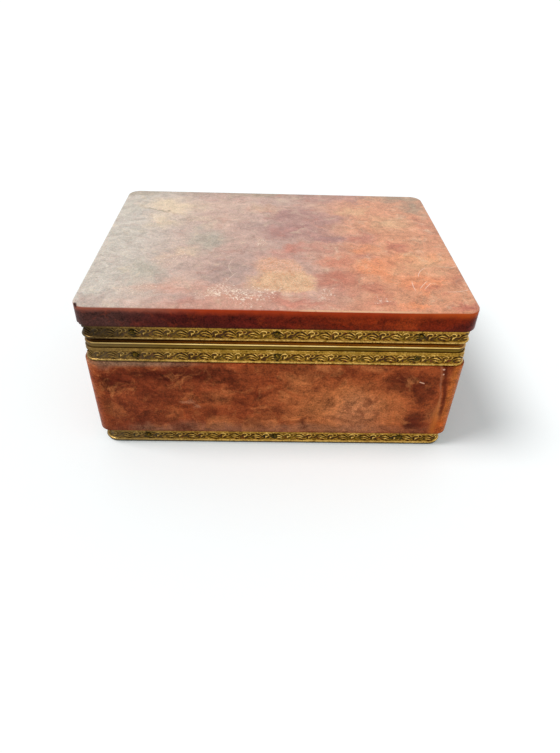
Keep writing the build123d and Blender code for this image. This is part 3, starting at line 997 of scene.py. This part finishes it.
bandShape = {
    "repeat": 9.6,  # length that the scroll is drawn at, then stretched a little to fit the band
    "thick": 0.9,
    "beadProud": 0.2,
    "slices": 20,  # of the plain strip, in one repeat
    "cornerSteps": 12,
    "straightSteps": 60,
    "hingeSpace": 0.2,  # between an upper band's end and the hinge leaf
    "mergeRepeats": 2e-6,  # metres
    "mergeBent": 3e-6,
    "smooth": 50,  # degrees
    "ground": 0.4,  # how far the plain ground stands out
    "pitDepth": 0.3,
    "ribThick": 0.82,
    # radius of a band's corners, where it were as far out as the slab
    "edgeCorner": {"lid_scroll_band": 6.0, "body_scroll_band": 6.0, "foot_scroll_band": 8.0},
    # out from the frame, up from the lower edge
    "bead": [(0.0, 0.0), (0.7, 0.0), (1.0, 0.2), (1.1, 0.45), (1.0, 0.7), (0.7, 0.88), (0.4, 1.0)],
    "groundRows": (1.5, 0.45, 8),  # lowest, spacing, number
    "border": [
        (0.44, 4.9), (0.62, 5.02), (0.62, 5.2), (0.46, 5.35),
        (0.48, 6.05), (0.66, 6.18), (0.62, 6.4), (0.0, 6.4),
    ],
    # each rib: along, up, out, and thickness there
    "ribs": [
        [
            (6.3, 3.4, 0.4, 0.16), (6.7, 4.1, 0.5, 0.3), (7.4, 4.65, 0.52, 0.36), (8.4, 4.65, 0.52, 0.36),
            (9.05, 4.2, 0.5, 0.34), (9.1, 3.5, 0.48, 0.3), (8.5, 3.0, 0.5, 0.36), (7.9, 2.7, 0.5, 0.44),
            (7.8, 2.0, 0.42, 0.34), (7.6, 1.5, 0.36, 0.2),
        ],
        [
            (9.0, 4.4, 0.4, 0.2), (9.8, 4.85, 0.5, 0.28), (10.6, 4.4, 0.5, 0.3), (10.6, 3.5, 0.48, 0.28),
            (9.8, 3.1, 0.46, 0.26), (9.1, 3.2, 0.4, 0.2),
        ],
        [(3.9, 4.85, 0.36, 0.1), (4.8, 4.6, 0.46, 0.3), (5.7, 4.05, 0.5, 0.38), (6.4, 3.2, 0.42, 0.2)],
        [
            (1.9, 3.15, 0.36, 0.12), (2.8, 3.6, 0.46, 0.34), (3.9, 3.6, 0.5, 0.42), (5.0, 3.15, 0.48, 0.34),
            (5.9, 2.5, 0.38, 0.14),
        ],
        [
            (2.4, 2.1, 0.36, 0.14), (3.0, 2.5, 0.46, 0.34), (4.1, 2.35, 0.5, 0.4), (5.1, 1.85, 0.46, 0.32),
            (6.0, 1.4, 0.38, 0.14),
        ],
        [(1.3, 4.45, 0.36, 0.1), (2.2, 4.8, 0.46, 0.28), (3.1, 4.6, 0.44, 0.26), (3.8, 4.25, 0.36, 0.1)],
        [(0.4, 1.8, 0.36, 0.12), (1.2, 1.2, 0.42, 0.26), (2.2, 1.1, 0.44, 0.28), (3.6, 1.1, 0.4, 0.16)],
    ],
    "berries": [(7.9, 2.8, 0.5)],  # along, up, size
    # deeper places in the ground: width, then points along and up
    "pits": [
        (0.36, [(8.6, 3.75), (7.3, 3.85), (6.95, 3.3), (7.0, 2.6), (7.3, 2.2)]),
        (0.36, [(9.8, 3.95), (9.9, 3.95)]),
        (0.34, [(2.0, 2.45), (2.1, 2.0), (3.0, 1.6)]),
        (0.3, [(4.3, 1.3), (4.9, 1.3)]),
        (0.3, [(6.9, 1.45), (8.2, 1.3), (9.3, 1.5)]),
        (0.36, [(8.9, 1.8), (9.4, 2.3), (10.6, 2.7), (11.4, 3.3), (12.2, 4.0)]),
        (0.29, [(3.7, 4.3), (4.7, 3.95), (5.7, 3.2), (6.3, 2.5)]),
        (0.29, [(2.7, 2.9), (4.4, 2.85), (5.9, 2.2)]),
    ],
    # the place along the scroll that meets the middle of the front, band by band
    "frontMiddle": {"lid_scroll_band": 8.6, "body_scroll_band": 9.5, "foot_scroll_band": 6.8},
    # about how long one repeat is, band by band; a whole number of them fills the band
    "pitch": {"lid_scroll_band": 9.6, "body_scroll_band": 9.5, "foot_scroll_band": 9.88},
}


def nearLine(along, up, points):  # distance from a spot on the band to a drawn line
    spot = Vector((along, up))
    away = []
    for a, b in zip(points, points[1:]):
        toSpot = spot - Vector(a)
        run = Vector(b) - Vector(a)
        share = max(0.0, min(1.0, toSpot.dot(run) / run.length_squared))
        away.append((Vector(a) + run * share - spot).length)
    return min(away)


def makeScrollRepeat(shape, pitch, phase):  # one repeat, along +X, facing the front
    middle = shape["thick"] / 2
    repeat = shape["repeat"]

    def at(along, up, out):
        return Vector((along / repeat * pitch, middle - out, up)) * mm

    first, spacing, number = shape["groundRows"]
    ground = [(shape["ground"], first + spacing * i) for i in range(number)]
    section = shape["bead"] + ground + shape["border"]
    clearSelection()
    bpy.ops.mesh.primitive_plane_add(size=0.001, location=at(0, section[0][1], section[0][0]))
    strip = bpy.context.object
    settle(strip)
    pick(strip, "VERT", lambda v: True)
    bpy.ops.mesh.merge(type="CENTER")  # the first point of the section
    for (out, up), (nextOut, nextUp) in zip(section, section[1:]):
        step = at(0, nextUp, nextOut) - at(0, up, out)
        bpy.ops.mesh.extrude_region_move(TRANSFORM_OT_translate={"value": step})
    pick(strip, "VERT", lambda v: abs(v.y - middle * mm) < samePlace)
    bpy.ops.mesh.edge_face_add()  # closes the section along the back
    bpy.ops.mesh.select_all(action="SELECT")
    onward = (pitch / shape["slices"] * mm, 0, 0)
    for i in range(shape["slices"]):
        bpy.ops.mesh.extrude_region_move(TRANSFORM_OT_translate={"value": onward})

    def inPit(v):
        if abs(middle - v.y / mm - shape["ground"]) > 0.01:
            return False
        along = (v.x / mm / pitch * repeat - phase) % repeat
        return any(
            nearLine(place, v.z / mm, points) < width
            for width, points in shape["pits"]
            for place in (along, along + repeat)
        )

    pick(strip, "VERT", inPit)
    bpy.ops.transform.translate(value=(0, shape["pitDepth"] * mm, 0))
    bpy.ops.object.mode_set(mode="OBJECT")

    ribLines = bpy.data.curves.new("ribs", "CURVE")
    ribLines.dimensions = "3D"
    ribLines.bevel_depth = mm
    ribLines.bevel_resolution = 1
    ribLines.use_fill_caps = True
    ribLines.resolution_u = 2
    for rib in shape["ribs"]:
        line = ribLines.splines.new("NURBS")
        line.points.add(len(rib) - 1)
        for point, (along, up, out, thick) in zip(line.points, rib):
            point.co = at(along + phase, up, out).to_4d()
            point.radius = thick * shape["ribThick"]
        line.order_u = 3
        line.use_endpoint_u = True
    ribs = bpy.data.objects.new("ribs", ribLines)
    bpy.context.scene.collection.objects.link(ribs)
    workOn(ribs)
    bpy.ops.object.convert(target="MESH")
    parts = [strip, bpy.context.object]
    for along, up, size in shape["berries"]:
        clearSelection()
        bpy.ops.mesh.primitive_uv_sphere_add(
            segments=8, ring_count=5, radius=size * mm, location=at(along + phase, up, shape["ground"]),
            rotation=(math.pi / 2, 0, 0), scale=(1, 1, (shape["thick"] - shape["ground"]) / size),
        )
        parts.append(bpy.context.object)
        settle(parts[-1])
    workOn(strip)
    for part in parts:
        part.select_set(True)
    bpy.ops.object.join()
    relief = strip.data.attributes.new("relief", "FLOAT", "POINT")
    deepest = shape["ground"] - shape["pitDepth"]
    for v, value in zip(strip.data.vertices, relief.data):
        value.value = max(0.0, (middle - v.co.y / mm - deepest) / (shape["thick"] - deepest))
    return strip


def bandPath(shape, halfX, halfY, corner, gap):  # seen from above it runs anticlockwise, open at the back
    clearSelection()
    bpy.ops.mesh.primitive_plane_add(size=2)
    path = bpy.context.object
    path.scale = (halfX, halfY, 1)
    settle(path)
    pick(path, "EDGE", lambda a, b: min(a.y, b.y) > 0)
    bpy.ops.mesh.subdivide(number_cuts=2)
    pick(path, "VERT", lambda v: abs(v.x) < 0.5 * halfX)
    bpy.ops.transform.resize(value=(gap / 2 / (halfX / 3), 1, 1), center_override=(0, halfY, 0))
    pick(path, "VERT", lambda v: abs(v.x) > halfX - samePlace)
    bpy.ops.mesh.bevel(offset=corner, segments=shape["cornerSteps"], affect="VERTICES")
    pick(path, "FACE", lambda f: True)
    bpy.ops.mesh.delete(type="ONLY_FACE")
    pick(path, "EDGE", lambda a, b: min(a.y, b.y) > 0 and max(abs(a.x), abs(b.x)) < gap / 2 + samePlace)
    bpy.ops.mesh.delete(type="EDGE")
    pick(path, "EDGE", lambda a, b: (a - b).length > longEdge)
    bpy.ops.mesh.subdivide(number_cuts=shape["straightSteps"])
    bpy.ops.object.mode_set(mode="OBJECT")
    bpy.ops.object.convert(target="CURVE")
    path = bpy.context.object
    points = [p.co.xy for p in path.data.splines[0].points]
    if sum(a.x * b.y - b.x * a.y for a, b in zip(points, points[1:])) < 0:
        bpy.ops.object.mode_set(mode="EDIT")
        bpy.ops.curve.select_all(action="SELECT")
        bpy.ops.curve.switch_direction()
        bpy.ops.object.mode_set(mode="OBJECT")
    return path, sum((a - b).length for a, b in zip(points, points[1:]))


def makeScrollBand(shape, node, name, gap):
    low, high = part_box(node)
    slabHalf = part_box("lid_slab")[1]
    back = (shape["thick"] + shape["beadProud"]) * mm
    halfX = high.x - back + shape["thick"] / 2 * mm
    halfY = -low.y - back + shape["thick"] / 2 * mm
    corner = shape["edgeCorner"][node] * mm - (slabHalf.x - halfX)
    path, length = bandPath(shape, halfX, halfY, corner, gap)
    count = round(length / mm / shape["pitch"][node])
    pitch = length / mm / count
    repeat = shape["repeat"]
    phase = (count * repeat / 2 - shape["frontMiddle"][node]) % repeat - repeat / 2
    band = makeScrollRepeat(shape, pitch, phase)
    band.name = name
    modify(
        band, "ARRAY", count=count + 2, use_relative_offset=False, use_constant_offset=True,
        constant_offset_displace=(pitch * mm, 0, 0), use_merge_vertices=True,
        merge_threshold=shape["mergeRepeats"],
    )
    editAll(band)
    bpy.ops.transform.translate(value=(-pitch * mm, 0, 0))
    for place, side in ((0.0, "clear_inner"), (length, "clear_outer")):  # square ends
        bpy.ops.mesh.select_all(action="SELECT")
        bpy.ops.mesh.bisect(
            plane_co=(place, 0, 0), plane_no=(1, 0, 0), use_fill=gap > 0, threshold=samePlace, **{side: True}
        )
    modify(band, "CURVE", object=path)
    bpy.data.objects.remove(path)
    editAll(band)
    bpy.ops.mesh.remove_doubles(threshold=shape["mergeBent"])
    bpy.ops.mesh.normals_make_consistent(inside=False)
    bpy.ops.transform.translate(value=(0, 0, low.z))
    bpy.ops.object.mode_set(mode="OBJECT")
    bpy.ops.object.shade_smooth_by_angle(angle=math.radians(shape["smooth"]))
    return band, count


for node, body, name in (
    ("lid_scroll_band", "lid", "lidScrollBand"),
    ("body_scroll_band", "base", "bodyScrollBand"),
    ("foot_scroll_band", "base", "footScrollBand"),
):
    gap = 0.0  # the foot band is closed, the upper ones stop on both sides of the hinge
    if node != "foot_scroll_band":
        gap = (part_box("lid_hinge_leaf")[1].x + bandShape["hingeSpace"] * mm) * 2
    band, count = makeScrollBand(bandShape, node, name, gap)
    fitOut(band, body, "scroll_brass", finishes["scroll"], node)
    print(name, "stamped:", count, "repeats,", len(band.data.polygons), "faces")


# band pins

pinShape = {"head": 1.1, "proud": 0.5, "sunk": 0.75, "uneven": 0.04, "around": 16, "rings": 10}


def makePins(shape, node, name):  # a hammered dome on each pin of the CAD node
    marks = easedCopy(node, name + ".marks", 0.0)
    workOn(marks)
    bpy.ops.object.mode_set(mode="EDIT")
    bpy.ops.mesh.separate(type="LOOSE")
    bpy.ops.object.mode_set(mode="OBJECT")
    marks = list(bpy.context.selected_objects)
    heads = []
    for i, mark in enumerate(marks):
        places = [v.co for v in mark.data.vertices]
        low = Vector([min(place[k] for place in places) for k in range(3)])
        high = Vector([max(place[k] for place in places) for k in range(3)])
        mid = (low + high) / 2
        wide = high - low
        axis = 0 if wide.x < wide.y else 1
        side = 1 if mid[axis] > 0 else -1
        tip = (high if side > 0 else low)[axis]
        centre = mid.copy()
        dome = shape["proud"] + shape["sunk"]
        centre[axis] = tip - side * dome * mm
        turn = (0, math.pi / 2, 0) if axis == 0 else (math.pi / 2, 0, 0)
        clearSelection()
        bpy.ops.mesh.primitive_uv_sphere_add(
            segments=shape["around"], ring_count=shape["rings"], radius=shape["head"] * mm,
            location=centre, rotation=turn, scale=(1, 1, dome / shape["head"]),
        )
        head = bpy.context.object
        settle(head)
        editAll(head)
        bpy.ops.transform.vertex_random(offset=shape["uneven"] * mm, seed=i)
        bpy.ops.object.mode_set(mode="OBJECT")
        heads.append(head)
    for mark in marks:
        bpy.data.objects.remove(mark)
    workOn(heads[0])
    for head in heads:
        head.select_set(True)
    bpy.ops.object.join()
    pins = bpy.context.object
    pins.name = name
    bpy.ops.object.shade_smooth()
    return pins


for node, body, name in (
    ("lid_band_pins", "lid", "lidBandPins"),
    ("body_band_pins", "base", "bodyBandPins"),
    ("foot_band_pins", "base", "footBandPins"),
):
    fitOut(makePins(pinShape, node, name), body, "pin_brass", finishes["pins"], node)
print("band pins set")


# felt and lining

feltShape = {
    "corner": 5.8,
    "cornerSteps": 6,
    "straightSteps": 60,
    "fuzz": 0.05,
    "fuzzSeed": 3,
    "smooth": 30,  # degrees
}


def makeFelt(shape):
    low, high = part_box("base_felt")
    clearSelection()
    bpy.ops.mesh.primitive_plane_add(size=2, location=(0, 0, low.z))
    felt = bpy.context.object
    felt.name = "baseFeltSheet"
    felt.scale = (high.x, high.y, 1)
    settle(felt)
    pick(felt, "VERT", lambda v: True)
    bpy.ops.mesh.bevel(offset=shape["corner"] * mm, segments=shape["cornerSteps"], affect="VERTICES")
    pick(felt, "EDGE", lambda a, b: (a - b).length > longEdge)
    bpy.ops.mesh.subdivide(number_cuts=shape["straightSteps"])
    bpy.ops.mesh.select_all(action="SELECT")
    bpy.ops.mesh.extrude_region_move(TRANSFORM_OT_translate={"value": (0, 0, high.z - low.z)})
    bpy.ops.mesh.select_all(action="SELECT")
    bpy.ops.transform.vertex_random(offset=shape["fuzz"] * mm, seed=shape["fuzzSeed"])
    bpy.ops.object.mode_set(mode="OBJECT")
    for v in felt.data.vertices:  # stays flat under the box
        v.co.z = low.z if v.co.z < (low.z + high.z) / 2 else high.z
    tidyMesh(felt, shape["smooth"])
    return felt


baseFelt = makeFelt(feltShape)
fitOut(baseFelt, "base", "felt", finishes["felt"], "base_felt")

liningShape = {
    "corner": 1.5,
    "cornerSteps": 4,
    "smooth": 60,  # degrees
    "crown": 0.35,
    # how the crown rises: share of it, and how far in; together less than the corner's radius
    "steps": [(0.5, 0.2), (0.3, 0.4), (0.2, 0.6), (0.0, 0.15)],
}


def makeLining(shape):
    low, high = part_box("floor_lining")
    pad = blockIn(low, high, "velvetFloorPad")
    pick(pad, "EDGE", lambda a, b: abs(a.z - b.z) > samePlace)
    bpy.ops.mesh.bevel(offset=shape["corner"] * mm, segments=shape["cornerSteps"])
    pick(pad, "FACE", lambda f: f.normal.z > 0.9)
    bpy.ops.transform.translate(value=(0, 0, -shape["crown"] * mm))
    for rise, step in shape["steps"]:
        bpy.ops.mesh.inset(thickness=step * mm)
        bpy.ops.transform.translate(value=(0, 0, rise * shape["crown"] * mm))
    tidyMesh(pad, shape["smooth"])
    return pad


lining = makeLining(liningShape)
fitOut(lining, "base", "velvet", finishes["velvet"], "floor_lining")
print("felt and velvet laid")


# floor, light and camera

studio = {
    "floorSize": 12.0,  # metres
    "floorWhite": ((0.965, 0.965, 0.965, 1), (0.975, 0.975, 0.975, 1)),
    # what lifts the floor to the photograph's white, for the eye alone, less red beside the box
    "floorGlow": 0.1,
    "glowTint": (0.6, 1, 1.06, 1),
    "skyLight": 0.5,
    "keyLight": 0.5,
    "keyHeight": 60,  # degrees above the floor
    "keySide": 84,  # degrees round from the front, over the left
    "keySoftness": 24,
}


def floorFinish(light):
    look = Finish("white studio floor", Specular_IOR_Level=0.0, Emission_Strength=light["floorGlow"])
    shade = look.noise(look.place(), 400, 2)
    white = look.mix(shade, *light["floorWhite"])
    glow = look.mix(look.seenRays(), (0, 0, 0, 1), light["glowTint"])
    rough = look.step(shade, 0.2, 0.8, 0.9, 1.0)
    return look.feed(Base_Color=white, Roughness=rough, Emission_Color=glow)


def lightSky(world, light):  # lights the box at one strength, and looks white at another
    world.use_nodes = True
    look = Sheet(world.node_tree, "ShaderNodeOutputWorld")
    sky = look.node("ShaderNodeBackground", {}, (1, 1, 1, 1), light["skyLight"])
    seen = look.node("ShaderNodeBackground", {}, (1, 1, 1, 1), 1.0)
    look.show(look.node("ShaderNodeMixShader", {}, look.seenRays(), sky, seen))


clearSelection()
bpy.ops.mesh.primitive_plane_add(size=studio["floorSize"], location=(0, 0, 0))
floor = bpy.context.object
floor.name = "studioFloor"
floor.data.materials.append(floorFinish(studio))

world = bpy.context.scene.world or bpy.data.worlds.new("studio")
bpy.context.scene.world = world
lightSky(world, studio)

height = math.radians(studio["keyHeight"])
side = math.radians(studio["keySide"])
toKey = Vector((-math.sin(side) * math.cos(height), -math.cos(side) * math.cos(height), math.sin(height)))
clearSelection()
bpy.ops.object.light_add(type="SUN", location=toKey * 2)
key = bpy.context.object
key.name = "windowLight"
key.rotation_euler = toKey.to_track_quat("Z", "Y").to_euler()
key.data.energy = studio["keyLight"] * math.pi / math.sin(height)
key.data.angle = math.radians(studio["keySoftness"])

shot = {
    "lens": 27.33,
    "sensor": 36,
    "place": (-5.05, -250.61, 188.07),
    "pitch": 37.93,
    "yaw": 2.007,
    "roll": -2.041,
    "near": 0.01,  # metres
    "far": 50,
}
bpy.ops.object.camera_add(location=Vector(shot["place"]) * mm)
camera = bpy.context.object
camera.name = "photoCamera"
turn = (
    Matrix.Rotation(-math.radians(shot["yaw"]), 4, "Z")
    @ Matrix.Rotation(math.radians(90 - shot["pitch"]), 4, "X")
    @ Matrix.Rotation(-math.radians(shot["roll"]), 4, "Z")
)
camera.matrix_world = Matrix.Translation(Vector(shot["place"]) * mm) @ turn
camera.data.lens = shot["lens"]
camera.data.sensor_width = shot["sensor"]
camera.data.clip_start = shot["near"]
camera.data.clip_end = shot["far"]
bpy.context.scene.camera = camera
bpy.context.scene.view_settings.view_transform = "Standard"
print("studio lit")
